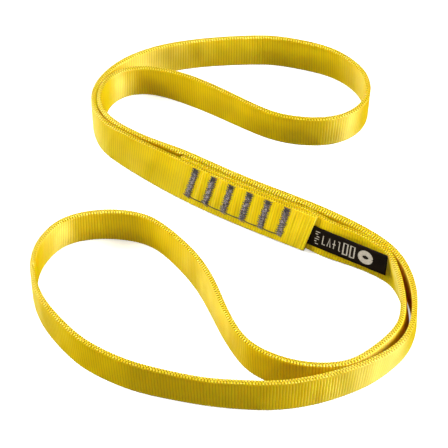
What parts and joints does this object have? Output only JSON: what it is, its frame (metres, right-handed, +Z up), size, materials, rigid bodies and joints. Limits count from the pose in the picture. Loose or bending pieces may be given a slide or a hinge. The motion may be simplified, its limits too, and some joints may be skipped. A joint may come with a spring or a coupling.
{
  "type": "sewn webbing sling",
  "caption": "Endless sling of flat nylon webbing, its overlapped ends joined by bar tacks, with a folded woven label; used to anchor, extend or lift a load.",
  "frame": {"origin": "middle of the sling's bounding box at the level of the webbing's lower edge", "axes": "+Z up along the webbing's width, +Y away from the front along the length of the laid-out S, +X to the right"},
  "size_m": [0.1662, 0.2232, 0.019],
  "materials": {
    "webbing": "satin ribbed nylon weave",
    "tack_thread": "twisted polyester thread",
    "label": "woven satin ribbon"
  },
  "bodies": {
    "sling": {"webbing": "webbing", "bar_tack_1": "tack_thread", "bar_tack_2": "tack_thread", "bar_tack_3": "tack_thread", "bar_tack_4": "tack_thread", "bar_tack_5": "tack_thread", "bar_tack_6": "tack_thread", "jump_thread_1": "tack_thread", "jump_thread_2": "tack_thread", "jump_thread_3": "tack_thread", "jump_thread_4": "tack_thread", "jump_thread_5": "tack_thread", "label_anchor": "label"},
    "label": {"label_flap": "label"}
  },
  "joints": [
    {"name": "label_lift", "type": "hinge", "parent": "sling", "child": "label", "pos_m": [0.04072, -0.01889, 0.00916], "axis": [-0.1509, -0.2697, -0.9511], "range_deg": [0, 85], "stiffness_Nm_per_rad": 0.002}
  ]
}
